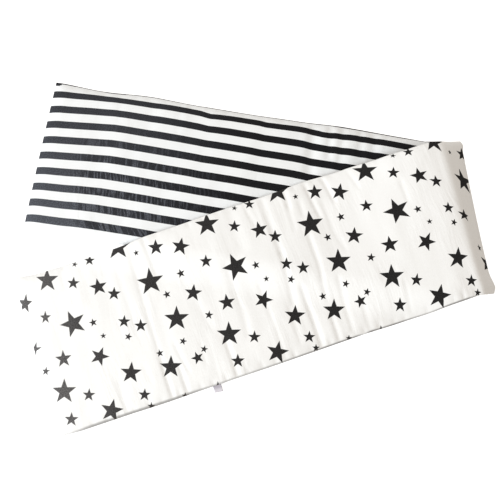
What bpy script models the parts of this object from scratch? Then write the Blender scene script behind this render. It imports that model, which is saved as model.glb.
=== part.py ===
"""Crib bumper: a long padded strip, star cotton on one face and striped cotton on the other.

The strip lies folded back on itself. Its lower leg shows the stripes, turns over in a loose
slanted roll at the right and comes back as the upper leg with the stars showing.
Metres, +Z up, +X along the longest extent, origin under the middle of the box.
"""
import math
from collections import namedtuple

import bpy
import numpy as np

# The strip: two cotton faces sewn together all round over a thin wadding
STRIP_WIDTH = 0.300
PAD_THICKNESS = 0.0135
SEAM_HEIGHT = 0.0058          # the sewn edge over the face that lies down
EDGE_ROUND = 0.030            # from the seam in to the full loft
EDGE_FULLNESS = 0.75          # lower is blunter at the seam

# Lower leg, stripes up: far left corner, run to the right and a slight sideways bow
LOWER_CORNER = (-0.3766, 0.3359)
LOWER_ANGLE = math.radians(-9.5)
LOWER_BOW = 0.056             # per metre
LOWER_BOW_MIDDLE = 0.35       # from the free end
LOWER_LEAD = 0.0036           # its free end runs out this much more at the far seam
LOWER_LEAD_FADE = 0.120

# Upper leg, stars up: near left corner and run to the right
UPPER_CORNER = (-0.3382, -0.3426)
UPPER_ANGLE = math.radians(19.15)

# The roll where the strip turns over: slack at the far side, tight at the near side
ROLL_CROSSING = 0.4193        # where its outline crosses the X axis
ROLL_TILT = math.radians(7.57)
ROLL_NEAR_END = -0.112        # along the roll from the X axis
ROLL_FAR_END = 0.208
ROLL_REACH_NEAR = 0.0163      # how far it stands out sideways
ROLL_REACH_FAR = 0.056
ROLL_RISE_NEAR = 0.0120       # half its height at the middle of the cloth
ROLL_RISE_FAR = 0.0225
ROLL_FLARE_NEAR = 0.0169      # the corners of the roll kick out
ROLL_FLARE_FAR = 0.0055
ROLL_FLARE_NEAR_LENGTH = 0.072
ROLL_FLARE_FAR_LENGTH = 0.022
ROLL_DRAW_IN = 0.0054         # the far seam of the roll draws in at its outer side
ROLL_TUCK = 0.0045            # the near seam of the roll pulls its corner in
ROLL_TUCK_WIDTH = 0.014
# Its section, in shares of its own length: flat, a tight bend, a slope that leans back, a crest
ROLL_LEAN = math.radians(128)
ROLL_BEND_START = 0.1683
ROLL_BEND_LENGTH = 0.40
ROLL_CREST_LENGTH = 0.12
ROLL_PARTS = 240
ROLL_SQUEEZE = 0.48           # the wadding is thinner inside the bend

# How the upper leg comes down from the roll
LAYER_GAP = 0.0020
ROLL_DROP = 0.229             # to lying on the lower leg
EDGE_DROP = 0.070             # from the lower leg's edge to the floor
EDGE_LEAD = 0.013             # the drop starts this far inside the edge
DROP_START = 0.100            # the drop past the edge is full this far from the roll

# The ribbon tie: sewn into the near seam, its short free end shows
TIE_WIDTH = 0.015
TIE_THICKNESS = 0.0010
TIE_ALONG = 0.293             # from the upper leg's free end
TIE_TUCK = 0.006              # hidden under the edge
TIE_LENGTH = 0.0135           # past the seam
TIE_SLANT = 0.002             # the cut end is a little askew
TOUCH = 0.0003

# Mesh steps along and across the strip
LOWER_STEPS = 44
ROLL_STEPS = 20
UPPER_STEPS = 66
EDGE_STEPS = 3
INNER_STEPS = 10

# How the two long seams wander from straight, as a maker would pin them out: the corners
# stand out, the wadding draws the sides in, and the near side bunches before the roll.
# Along is from the leg's free end; far and near are shifts towards the near side.
Sides = namedtuple("Sides", "along far near")
UPPER_SIDES = (
    Sides(along=0.000, far=-0.0062, near=-0.0055),
    Sides(along=0.045, far=-0.0010, near=-0.0038),
    Sides(along=0.110, far=+0.0002, near=-0.0024),
    Sides(along=0.205, far=+0.0032, near=-0.0006),
    Sides(along=0.255, far=+0.0000, near=+0.0008),
    Sides(along=0.310, far=-0.0002, near=+0.0022),
    Sides(along=0.400, far=-0.0018, near=+0.0027),
    Sides(along=0.480, far=-0.0014, near=+0.0022),
    Sides(along=0.565, far=-0.0040, near=+0.0000),
    Sides(along=0.640, far=-0.0007, near=+0.0018),
    Sides(along=0.710, far=+0.0041, near=+0.0042),
    Sides(along=0.765, far=+0.0073, near=+0.0052),
    Sides(along=0.820, far=+0.0093, near=+0.0055),
)
LOWER_SIDES = (
    Sides(along=0.000, far=-0.0050, near=-0.0040),
    Sides(along=0.095, far=+0.0006, near=-0.0040),
    Sides(along=0.180, far=-0.0026, near=-0.0040),
    Sides(along=0.280, far=+0.0016, near=-0.0040),
    Sides(along=0.380, far=+0.0027, near=-0.0050),
    Sides(along=0.470, far=+0.0014, near=-0.0080),
    Sides(along=0.560, far=-0.0022, near=-0.0130),
    Sides(along=0.660, far=-0.0010, near=-0.0190),
    Sides(along=0.760, far=-0.0006, near=-0.0240),
)

# Main creases of the star face, pressed across the strip
Crease = namedtuple("Crease", "along start finish depth half_width")
STAR_CREASES = (
    Crease(along=0.212, start=0.020, finish=0.285, depth=0.0024, half_width=0.012),
    Crease(along=0.250, start=0.005, finish=0.290, depth=0.0016, half_width=0.011),
    Crease(along=0.295, start=0.120, finish=0.190, depth=0.0016, half_width=0.014),
    Crease(along=0.329, start=0.235, finish=0.296, depth=0.0020, half_width=0.010),
    Crease(along=0.371, start=0.140, finish=0.270, depth=0.0018, half_width=0.013),
    Crease(along=0.420, start=0.215, finish=0.265, depth=0.0015, half_width=0.011),
    Crease(along=0.440, start=0.010, finish=0.055, depth=0.0015, half_width=0.011),
    Crease(along=0.477, start=0.015, finish=0.190, depth=0.0030, half_width=0.012),
    Crease(along=0.490, start=0.190, finish=0.292, depth=0.0034, half_width=0.013),
    Crease(along=0.516, start=0.000, finish=0.110, depth=0.0018, half_width=0.011),
    Crease(along=0.531, start=0.115, finish=0.285, depth=0.0024, half_width=0.012),
    Crease(along=0.555, start=0.245, finish=0.290, depth=0.0016, half_width=0.011),
    Crease(along=0.592, start=0.010, finish=0.095, depth=0.0018, half_width=0.012),
    Crease(along=0.650, start=0.015, finish=0.060, depth=0.0014, half_width=0.012),
    Crease(along=0.727, start=0.060, finish=0.100, depth=0.0012, half_width=0.012),
)
# Soft dips of the striped face, measured from the lower leg's free end
STRIPE_CREASES = (
    Crease(along=0.190, start=0.020, finish=0.090, depth=0.0010, half_width=0.016),
    Crease(along=0.500, start=0.010, finish=0.110, depth=0.0016, half_width=0.016),
    Crease(along=0.555, start=0.005, finish=0.100, depth=0.0018, half_width=0.015),
    Crease(along=0.610, start=0.010, finish=0.080, depth=0.0014, half_width=0.015),
)
CREASE_FADE = 0.020           # a crease dies out over this length at its ends


def smooth(value):
    """An S curve from 0 to 1."""
    value = min(max(value, 0.0), 1.0)
    return value * value * (3.0 - 2.0 * value)


def heading(angle):
    return np.array([math.cos(angle), math.sin(angle)])


def left_of(vector):
    """The same vector turned a quarter to the left."""
    return np.array([-vector[1], vector[0]])


LOWER_RUN = heading(LOWER_ANGLE)
LOWER_SIDE = left_of(LOWER_RUN)
UPPER_RUN = heading(UPPER_ANGLE)
UPPER_SIDE = left_of(UPPER_RUN)
ROLL_OUT = heading(ROLL_TILT)
ROLL_RUN = left_of(ROLL_OUT)
ROLL_POINT = np.array([ROLL_CROSSING, 0.0])


def lower_bow(along):
    return 0.5 * LOWER_BOW * (along - LOWER_BOW_MIDDLE) ** 2


def lower_plan(along, across):
    """Place on the lower leg, from its free end and from its far edge."""
    return np.array(LOWER_CORNER) + along * LOWER_RUN - (across + lower_bow(along)) * LOWER_SIDE


def upper_plan(along, across):
    """Place on the upper leg, from its free end and from its far edge."""
    return np.array(UPPER_CORNER) + along * UPPER_RUN + (STRIP_WIDTH - across) * UPPER_SIDE


def roll_size(plan):
    """How far the roll stands out and half its height, at a place beside it."""
    place = (plan - ROLL_POINT) @ ROLL_RUN
    share = min(max((place - ROLL_NEAR_END) / (ROLL_FAR_END - ROLL_NEAR_END), 0.0), 1.1)
    reach = ROLL_REACH_NEAR + (ROLL_REACH_FAR - ROLL_REACH_NEAR) * share
    rise = ROLL_RISE_NEAR + (ROLL_RISE_FAR - ROLL_RISE_NEAR) * share
    return reach, rise


def roll_flare(plan):
    """How much farther out the roll stands at its two corners."""
    place = (plan - ROLL_POINT) @ ROLL_RUN
    near = ROLL_FLARE_NEAR * smooth(1.0 - (place - ROLL_NEAR_END) / ROLL_FLARE_NEAR_LENGTH)
    far = ROLL_FLARE_FAR * smooth(1.0 - (ROLL_FAR_END - place) / ROLL_FLARE_FAR_LENGTH)
    return near + far


def before_roll(plan):
    """Distance on the legs' side of the line where the turn starts."""
    reach, _ = roll_size(plan)
    return -(plan - ROLL_POINT) @ ROLL_OUT - reach - PAD_THICKNESS / 2.0


def length_to_roll(leg_plan, across):
    """How far a leg runs at this place across before it turns."""
    low, high = 0.4, 1.1
    for _ in range(40):
        middle = (low + high) / 2.0
        if before_roll(leg_plan(middle, across)) > 0.0:
            low = middle
        else:
            high = middle
    return low


def past_lower_edge(plan):
    """Distance beyond the near edge of the lower leg."""
    offset = plan - np.array(LOWER_CORNER)
    return -(offset @ LOWER_SIDE) - lower_bow(offset @ LOWER_RUN) - STRIP_WIDTH


def upper_height(plan):
    """Height of the upper leg's seam level: from the crest down to the lower leg and the floor."""
    _, rise = roll_size(plan)
    crest = SEAM_HEIGHT + 2.0 * rise
    lying = PAD_THICKNESS + LAYER_GAP + SEAM_HEIGHT
    distance = before_roll(plan)
    height = crest + (lying - crest) * smooth(distance / ROLL_DROP)
    drop = smooth((past_lower_edge(plan) + EDGE_LEAD) / EDGE_DROP)
    drop *= smooth(distance / DROP_START)
    return height + (SEAM_HEIGHT - height) * drop


def pinned(sides, along, across):
    """Place across the strip once its long seams wander as the table says."""
    last = sides[0]
    far, near = last.far, last.near
    for row in sides[1:]:
        step = smooth((along - last.along) / (row.along - last.along))
        far += (row.far - last.far) * step
        near += (row.near - last.near) * step
        last = row
    share = across / STRIP_WIDTH
    return across + far * (1.0 - share) ** 3 + near * share**3


def lower_leg(share, across, length):
    along = share * length
    lead = LOWER_LEAD * (1.0 - (across / STRIP_WIDTH) ** 2) * smooth(1.0 - along / LOWER_LEAD_FADE)
    plan = lower_plan(along - lead, pinned(LOWER_SIDES, along, across))
    return np.array([*plan, SEAM_HEIGHT]), np.array([0.0, 0.0, -1.0]), along


def upper_leg(share, across, length):
    along = (1.0 - share) * length
    plan = upper_plan(along, pinned(UPPER_SIDES, along, across))
    return np.array([*plan, upper_height(plan)]), np.array([0.0, 0.0, 1.0]), along


def roll_section():
    """The roll's section, 1 wide and 1 high: shares of its length, then out, up and their slopes."""
    shares = np.linspace(0.0, 1.0, ROLL_PARTS + 1)
    middles = (shares[1:] + shares[:-1]) / 2.0
    bend = np.array([smooth((place - ROLL_BEND_START) / ROLL_BEND_LENGTH) for place in middles])
    crest_start = 1.0 - ROLL_CREST_LENGTH
    crest = np.array([smooth((place - crest_start) / ROLL_CREST_LENGTH) for place in middles])
    heading_up = ROLL_LEAN * bend + (math.pi - ROLL_LEAN) * crest
    out = np.concatenate([[0.0], np.cumsum(np.cos(heading_up))])
    out = out - out[-1] * shares
    up = np.concatenate([[0.0], np.cumsum(np.sin(heading_up))])
    out = out / out.max()
    up = up / up[-1]
    return shares, out, up, np.gradient(out), np.gradient(up)


ROLL_SECTION = roll_section()


def roll(share, across, start, finish):
    """From the end of the lower leg round to the start of the upper leg."""
    shares, *curves = ROLL_SECTION
    out, up, out_slope, up_slope = [np.interp(share, shares, curve) for curve in curves]
    plan = start + (finish - start) * smooth(share)
    plan = plan - ROLL_DRAW_IN * out * (1.0 - across / STRIP_WIDTH) ** 3 * ROLL_RUN
    reach, rise = roll_size(plan)
    tuck = ROLL_TUCK * smooth(1.0 - (STRIP_WIDTH - across) / ROLL_TUCK_WIDTH)
    reach += roll_flare(plan) - tuck
    facing = np.array([*(ROLL_OUT * up_slope * 2.0 * rise), -out_slope * reach])
    place = np.array([*(plan + out * reach * ROLL_OUT), SEAM_HEIGHT + 2.0 * rise * up])
    return place, facing / np.linalg.norm(facing), up


def loft(distance):
    """Share of the full thickness at this distance from a sewn edge."""
    rest = 1.0 - min(distance / EDGE_ROUND, 1.0)
    return (1.0 - rest * rest) ** EDGE_FULLNESS


def crease_depth(creases, along, across):
    """How far the creases press a face in at one place."""
    depth = 0.0
    for crease in creases:
        side = math.exp(-(((along - crease.along) / crease.half_width) ** 2))
        fade = smooth((across - crease.start) / CREASE_FADE + 0.5)
        fade *= smooth((crease.finish - across) / CREASE_FADE + 0.5)
        depth += crease.depth * side * fade
    return depth


def rows_across():
    """Places across the strip from the far seam to the near seam, closer near the seams."""
    edge = [EDGE_ROUND * step / EDGE_STEPS for step in range(EDGE_STEPS)]
    inner = STRIP_WIDTH - 2.0 * EDGE_ROUND
    middle = [EDGE_ROUND + inner * step / INNER_STEPS for step in range(INNER_STEPS + 1)]
    return edge + middle + [STRIP_WIDTH - place for place in reversed(edge)]


def end_shares(steps):
    """Shares of a leg from its free end, closer there so that the end can round off."""
    shares = [0.0, 0.35 / steps, 0.9 / steps]
    shares += [step / steps for step in range(2, steps + 1)]
    return shares


def strip_columns():
    """Which stretch of the strip each column lies on, and its share of that stretch."""
    lower = [("lower", share) for share in end_shares(LOWER_STEPS)]
    turned = [("roll", step / ROLL_STEPS) for step in range(1, ROLL_STEPS)]
    upper = [("upper", 1.0 - share) for share in reversed(end_shares(UPPER_STEPS))]
    return lower + turned + upper


def pad_point(stretch, share, across):
    """Seam-level place and the offsets to the star face and the striped face there."""
    lower_length = length_to_roll(lower_plan, across)
    upper_length = length_to_roll(upper_plan, across)
    side = loft(min(across, STRIP_WIDTH - across))
    crown = PAD_THICKNESS - SEAM_HEIGHT
    if stretch == "lower":
        place, facing, along = lower_leg(share, across, lower_length)
        full = side * loft(along)
        crown -= crease_depth(STRIPE_CREASES, along, across)
        return place, facing, SEAM_HEIGHT * full, crown * full
    if stretch == "upper":
        place, facing, along = upper_leg(share, across, upper_length)
        full = side * loft(along)
        crown -= crease_depth(STAR_CREASES, along, across)
        return place, facing, crown * full, SEAM_HEIGHT * full
    start = lower_plan(lower_length, pinned(LOWER_SIDES, lower_length, across))
    finish = upper_plan(upper_length, pinned(UPPER_SIDES, upper_length, across))
    place, facing, up = roll(share, across, start, finish)
    star_side = SEAM_HEIGHT + (crown - SEAM_HEIGHT) * up
    squeeze = 1.0 - ROLL_SQUEEZE * math.sin(math.pi * share) ** 2
    return place, facing, star_side * side, (PAD_THICKNESS - star_side) * side * squeeze


def build_pad():
    """Two faces over the same grid, joined all round at the seam."""
    columns = strip_columns()
    rows = rows_across()
    points = []
    star = {}
    striped = {}
    for i, (stretch, share) in enumerate(columns):
        for j, across in enumerate(rows):
            place, facing, out, back = pad_point(stretch, share, across)
            sewn = i in (0, len(columns) - 1) or j in (0, len(rows) - 1)
            star[i, j] = len(points)
            points.append(place if sewn else place + out * facing)
            striped[i, j] = star[i, j]
            if not sewn:
                striped[i, j] = len(points)
                points.append(place - back * facing)
    faces = []
    for i in range(len(columns) - 1):
        for j in range(len(rows) - 1):
            corners = ((i, j), (i, j + 1), (i + 1, j + 1), (i + 1, j))
            faces.append([star[corner] for corner in reversed(corners)])
            faces.append([striped[corner] for corner in corners])
    return add_object("pad", points, faces, "wadded cotton", (0.90, 0.89, 0.86), 0.9)


def build_tie():
    """A short ribbon end that leaves the seam and comes down to the floor."""
    stations = (
        # past the seam, height of the ribbon's underside
        (-TIE_TUCK, SEAM_HEIGHT * (1.0 - loft(TIE_TUCK)) - TIE_THICKNESS - TOUCH),
        (0.0, SEAM_HEIGHT - TIE_THICKNESS - 2.0 * TOUCH),
        (0.35 * TIE_LENGTH, 0.45 * SEAM_HEIGHT),
        (0.70 * TIE_LENGTH, TOUCH),
        (TIE_LENGTH, TOUCH),
    )
    seam = pinned(UPPER_SIDES, TIE_ALONG, STRIP_WIDTH)
    points = []
    for past, height in stations:
        for side in (-0.5, 0.5):
            askew = TIE_SLANT * side * max(past, 0.0) / TIE_LENGTH
            plan = upper_plan(TIE_ALONG + side * TIE_WIDTH, seam + past + askew)
            points.append([*plan, height])
            points.append([*plan, height + TIE_THICKNESS])
    faces = [[0, 1, 3, 2]]
    for row in range(len(stations) - 1):
        here = 4 * row
        ahead = here + 4
        faces.append([here + 0, here + 2, ahead + 2, ahead + 0])
        faces.append([here + 1, ahead + 1, ahead + 3, here + 3])
        faces.append([here + 0, ahead + 0, ahead + 1, here + 1])
        faces.append([here + 2, here + 3, ahead + 3, ahead + 2])
    last = 4 * (len(stations) - 1)
    faces.append([last + 0, last + 2, last + 3, last + 1])
    return add_object("tie", points, faces, "woven ribbon", (0.86, 0.84, 0.88), 0.6)


def add_object(name, points, faces, finish, colour, roughness):
    """One named, closed mesh object with its own material."""
    mesh = bpy.data.meshes.new(name)
    mesh.from_pydata([tuple(float(value) for value in point) for point in points], [], faces)
    mesh.update()
    mesh.shade_smooth()
    material = bpy.data.materials.new(finish)
    material.use_nodes = True
    shader = material.node_tree.nodes["Principled BSDF"]
    shader.inputs["Base Color"].default_value = (*colour, 1.0)
    shader.inputs["Roughness"].default_value = roughness
    shader.inputs["Metallic"].default_value = 0.0
    mesh.materials.append(material)
    thing = bpy.data.objects.new(name, mesh)
    bpy.context.scene.collection.objects.link(thing)
    return thing


for old in list(bpy.data.objects):
    bpy.data.objects.remove(old)

build_pad()
build_tie()
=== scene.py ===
import math
from collections import namedtuple

import bpy
import numpy as np
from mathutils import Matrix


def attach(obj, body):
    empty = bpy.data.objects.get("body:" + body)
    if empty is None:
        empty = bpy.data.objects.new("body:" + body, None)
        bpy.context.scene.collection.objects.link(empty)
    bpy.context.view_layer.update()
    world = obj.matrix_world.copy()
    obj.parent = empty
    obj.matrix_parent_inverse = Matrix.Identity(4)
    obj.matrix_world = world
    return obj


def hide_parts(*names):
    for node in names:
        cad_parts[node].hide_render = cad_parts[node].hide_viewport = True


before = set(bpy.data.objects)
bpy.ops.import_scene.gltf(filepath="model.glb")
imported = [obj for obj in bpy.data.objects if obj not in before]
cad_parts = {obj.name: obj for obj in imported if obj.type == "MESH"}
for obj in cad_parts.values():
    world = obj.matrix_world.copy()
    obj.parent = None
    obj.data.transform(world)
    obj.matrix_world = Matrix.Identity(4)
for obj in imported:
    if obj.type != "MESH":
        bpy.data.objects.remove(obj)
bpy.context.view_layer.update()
scene = bpy.context.scene

# ---- Camera ----
# A long lens looks down on the cloth from the near side, 74 degrees above the floor, with no
# lean to either side.
CAMERA_HEIGHT_ANGLE = math.radians(74.0)
CAMERA_DISTANCE = 1.9385
CAMERA_AIM = (-0.0064, 0.0034, 0.0)
camera_data = bpy.data.cameras.new("camera")
camera_data.sensor_width = 36.0
camera_data.lens = 75.6
camera_data.clip_end = 40.0
camera = bpy.data.objects.new("camera", camera_data)
scene.collection.objects.link(camera)
camera.location = (
    CAMERA_AIM[0],
    CAMERA_AIM[1] - CAMERA_DISTANCE * math.cos(CAMERA_HEIGHT_ANGLE),
    CAMERA_DISTANCE * math.sin(CAMERA_HEIGHT_ANGLE),
)
camera.rotation_euler = (math.pi / 2.0 - CAMERA_HEIGHT_ANGLE, 0.0, 0.0)
scene.camera = camera

# ---- Floor and light ----
# A white table in a warm pale room, lit until it burns out. A soft window stands low at the near
# left, so that the cloth is brightest there and its creases shade away to the right, and a
# weaker one at the far left. The camera alone sees the table glow, and white all round it.
FLOOR_SIZE = 12.0
FLOOR_DROP = 0.0002               # the table lies this far under the cloth
FLOOR_WHITE = (0.60, 0.60, 0.60, 1.0)
FLOOR_GLOW = 0.85
ROOM_COLOUR = (1.0, 0.903, 0.815, 1.0)
ROOM_STRENGTH = 0.645
PURE_WHITE = (1.0, 1.0, 1.0, 1.0)


def new_material(name):
    """A material with nodes, its tree and its shader."""
    material = bpy.data.materials.new(name)
    material.use_nodes = True
    tree = material.node_tree
    return material, tree, tree.nodes["Principled BSDF"]


def split_for_camera(tree, unseen, seen, surface):
    """One shader is seen by the camera, the other lights everything else."""
    rays = tree.nodes.new("ShaderNodeLightPath")
    pick = tree.nodes.new("ShaderNodeMixShader")
    tree.links.new(rays.outputs["Is Camera Ray"], pick.inputs[0])
    tree.links.new(unseen.outputs[0], pick.inputs[1])
    tree.links.new(seen.outputs[0], pick.inputs[2])
    tree.links.new(pick.outputs[0], surface)


def soft_window(name, place, size, energy, colour):
    """A round soft light that faces the middle of the floor."""
    light = bpy.data.lights.new(name, "AREA")
    light.shape = "DISK"
    light.size = size
    light.energy = energy
    light.color = colour
    window = bpy.data.objects.new(name, light)
    window.location = place
    tilt = math.atan2(math.hypot(place[0], place[1]), place[2])
    turn = math.atan2(-place[1], -place[0]) - math.pi / 2.0
    window.rotation_euler = (tilt, 0.0, turn)
    scene.collection.objects.link(window)


half = FLOOR_SIZE / 2.0
floor_corners = ((-half, -half), (half, -half), (half, half), (-half, half))
floor_mesh = bpy.data.meshes.new("floor")
floor_mesh.from_pydata([(x, y, -FLOOR_DROP) for x, y in floor_corners], [], [(0, 1, 2, 3)])
floor = bpy.data.objects.new("floor", floor_mesh)
scene.collection.objects.link(floor)
table_white, tree, shader = new_material("white table")
shader.inputs["Base Color"].default_value = FLOOR_WHITE
shader.inputs["Roughness"].default_value = 0.9
shader.inputs["Specular IOR Level"].default_value = 0.0
glow = tree.nodes.new("ShaderNodeEmission")
glow.inputs["Color"].default_value = PURE_WHITE
glow.inputs["Strength"].default_value = FLOOR_GLOW
glowing = tree.nodes.new("ShaderNodeAddShader")
tree.links.new(shader.outputs[0], glowing.inputs[0])
tree.links.new(glow.outputs[0], glowing.inputs[1])
split_for_camera(tree, shader, glowing, tree.nodes["Material Output"].inputs["Surface"])
floor_mesh.materials.append(table_white)

world = bpy.data.worlds.new("pale room")
world.use_nodes = True
room = world.node_tree.nodes["Background"]
room.inputs["Color"].default_value = ROOM_COLOUR
room.inputs["Strength"].default_value = ROOM_STRENGTH
backdrop = world.node_tree.nodes.new("ShaderNodeBackground")
backdrop.inputs["Color"].default_value = PURE_WHITE
world_surface = world.node_tree.nodes["World Output"].inputs["Surface"]
split_for_camera(world.node_tree, room, backdrop, world_surface)
scene.world = world
scene.view_settings.view_transform = "Standard"
soft_window(
    "window light", place=(-2.55, -1.60, 1.42), size=1.15, energy=98.0, colour=(0.94, 0.99, 1.04)
)
soft_window("far window", place=(-1.2, 2.6, 1.3), size=2.0, energy=25.0, colour=(0.96, 0.99, 1.02))

# ---- Padded strip ----
# Two cotton panels, star print and stripes, sewn together all round over a thin wadding and
# turned. It lies folded back on itself once: stripes up below, then a loose slanted roll at the
# right, then stars up on top. Lengths are in metres, the same as the solid's.
STRIP_WIDTH = 0.300
PAD_THICKNESS = 0.0135
SEAM_HEIGHT = 0.0058              # of the sewn edge over what the strip lies on
EDGE_ROUND = 0.030                # from the sewn edge to the full thickness
EDGE_FULLNESS = 0.75              # under 1 it rises more steeply
LOWER_CORNER = np.array([-0.3766, 0.3359])      # far corner of its free end
LOWER_ANGLE = math.radians(-9.5)
LOWER_BOW = 0.056                 # curve of the leg, one over its radius
LOWER_BOW_MIDDLE = 0.35           # along the leg from its free end
LOWER_LEAD = 0.0036               # how far the far corner stands out, and where that has faded
LOWER_LEAD_FADE = 0.120
UPPER_CORNER = np.array([-0.3382, -0.3426])     # near corner of its free end
UPPER_ANGLE = math.radians(19.15)
ROLL_CROSSING = 0.4193            # where the roll's own line passes the middle of the floor
ROLL_TILT = math.radians(7.57)
ROLL_NEAR_END = -0.112            # along that line from there
ROLL_FAR_END = 0.208
ROLL_REACH = (0.0163, 0.056)      # how far it stands out: near end, far end
ROLL_RISE = (0.0120, 0.0225)      # half its height
ROLL_FLARE = (0.0169, 0.0055)     # how much farther out its corners stand
ROLL_FLARE_LENGTH = (0.072, 0.022)
ROLL_DRAW_IN = 0.0054             # of the far seam, along the roll
ROLL_TUCK = 0.0045                # of the near seam, into the roll
ROLL_TUCK_WIDTH = 0.014
ROLL_LEAN = math.radians(128)     # its outer side leans back over the cloth
ROLL_BEND = (0.1683, 0.40)        # where on its section the tight bend starts, and how long
ROLL_CREST_LENGTH = 0.17          # share of the section that the crest takes
ROLL_BEYOND = 1.1                 # it goes on growing to this share of its length
ROLL_PARTS = 240                  # of its section's curve
ROLL_SQUEEZE = 0.48               # how much thinner the wadding is inside the turn
LAYER_GAP = 0.0020                # between the legs where they cross
ROLL_DROP = 0.229                 # how far from the roll the upper leg comes down
EDGE_DROP = 0.070                 # and from the lower leg's edge to the floor
EDGE_LEAD = 0.013                 # that drop starts before the edge, and not near the roll
DROP_START = 0.100

# How the two long seams wander: along from the leg's free end, far seam, near seam
UPPER_SIDES = np.array((
    (0.000, -0.0062, -0.0040), (0.045, -0.0010, -0.0016), (0.110, +0.0002, -0.0012),
    (0.205, +0.0032, +0.0004), (0.255, +0.0000, +0.0000), (0.310, -0.0002, +0.0001),
    (0.400, -0.0018, +0.0007), (0.480, -0.0014, +0.0004), (0.565, -0.0040, +0.0000),
    (0.640, -0.0007, +0.0018), (0.710, +0.0041, +0.0042), (0.765, +0.0073, +0.0052),
    (0.820, +0.0093, +0.0055),
))
LOWER_SIDES = np.array((
    (0.000, -0.0050, -0.0040), (0.095, +0.0006, -0.0040), (0.180, -0.0026, -0.0040),
    (0.280, +0.0016, -0.0040), (0.380, +0.0027, -0.0050), (0.470, +0.0014, -0.0080),
    (0.560, -0.0022, -0.0130), (0.660, -0.0010, -0.0190), (0.760, -0.0006, -0.0240),
))

# Creases pressed across the star face, in millimetres: the path as (along, across), how deep,
# and half its width. Most run from seam to seam, and the deepest lie right of the middle.
Crease = namedtuple("Crease", "path depth half")
STAR_CREASES = (
    Crease(((217, 4), (215, 60), (212, 110), (211, 160), (210, 225)), 1.1, 6.0),
    Crease(((210, 225), (209, 260), (209, 298)), 1.9, 5.0),
    Crease(((246, 0), (248, 30), (251, 75)), 1.5, 6.0),
    Crease(((241, 205), (245, 235), (250, 262)), 1.1, 4.5),
    Crease(((237, 245), (237, 298)), 1.9, 5.0),
    Crease(((184, 20), (184, 90), (182, 170)), 0.6, 8.0),
    Crease(((87, 8), (86, 50)), 0.6, 5.0),
    Crease(((127, 235), (126, 296)), 0.8, 6.0),
    Crease(((178, 225), (181, 262)), 0.7, 6.0),
    Crease(((302, 140), (306, 170), (312, 205)), 1.1, 10.0),
    Crease(((286, 215), (283, 262)), 0.7, 5.0),
    Crease(((330, 222), (330, 298)), 1.9, 5.5),
    Crease(((374, 96), (376, 150), (376, 190), (371, 240)), 1.2, 8.0),
    Crease(((414, 0), (412, 40), (413, 90)), 1.1, 12.0),
    Crease(((420, 150), (421, 240), (420, 298)), 0.9, 5.0),
    Crease(((442, 12), (448, 52)), 0.9, 4.5),
    Crease(((458, 205), (455, 280)), 0.9, 6.0),
    Crease(((476, 4), (476, 60), (477, 120)), 1.7, 7.0),
    Crease(((477, 110), (472, 165), (466, 215)), 1.5, 6.5),
    Crease(((491, 182), (491, 240), (490, 299)), 2.4, 6.5),
    Crease(((520, 0), (519, 40)), 1.7, 5.5),
    Crease(((518, 30), (514, 85)), 0.9, 5.0),
    Crease(((540, 30), (539, 62)), 1.3, 6.0),
    Crease(((561, 4), (563, 40), (567, 76)), 1.8, 4.8),
    Crease(((595, 2), (599, 30), (602, 56)), 1.8, 4.8),
    Crease(((580, 45), (582, 110), (590, 150)), 0.8, 6.0),
    Crease(((535, 94), (534, 150), (531, 184)), 1.6, 5.5),
    Crease(((530, 176), (527, 220)), 1.1, 5.0),
    Crease(((524, 248), (523, 299)), 1.9, 5.5),
    Crease(((558, 188), (554, 240), (551, 292)), 1.3, 5.5),
    Crease(((585, 245), (582, 298)), 0.9, 5.0),
    Crease(((644, 6), (652, 46)), 1.0, 4.5),
    Crease(((667, 230), (662, 290)), 0.9, 4.5),
    Crease(((727, 56), (726, 100)), 1.1, 4.8),
)
# Short puckers where the seam's stitches draw the cloth in: along, length, depth
NEAR_PUCKERS = (
    (34, 14, 0.5), (62, 16, 0.6), (88, 20, 0.9), (112, 18, 0.8), (138, 15, 0.6),
    (166, 20, 1.0), (189, 17, 0.7), (222, 22, 0.9), (262, 16, 0.8), (284, 18, 0.9),
    (309, 20, 1.0), (352, 18, 0.8), (377, 22, 1.0), (402, 18, 1.0), (438, 20, 1.1),
    (470, 16, 0.8), (506, 18, 1.0), (541, 16, 0.9), (571, 18, 1.0), (600, 22, 1.2),
    (628, 16, 0.8), (648, 17, 0.9), (690, 18, 0.9), (715, 16, 0.8), (738, 20, 1.1),
    (757, 24, 1.6), (779, 15, 0.9),
)
FAR_PUCKERS = (
    (25, 12, 0.5), (57, 14, 0.6), (92, 18, 0.8), (121, 14, 0.6), (149, 15, 0.7),
    (176, 12, 0.5), (200, 14, 0.7), (228, 16, 0.9), (272, 15, 0.8), (301, 14, 0.7),
    (333, 18, 1.0), (362, 15, 0.8), (391, 14, 0.7), (427, 16, 0.9), (459, 14, 0.7),
    (497, 15, 0.9), (540, 16, 0.8), (577, 15, 0.8), (615, 14, 0.8), (668, 14, 0.7),
    (702, 13, 0.6), (741, 15, 0.8),
)
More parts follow.
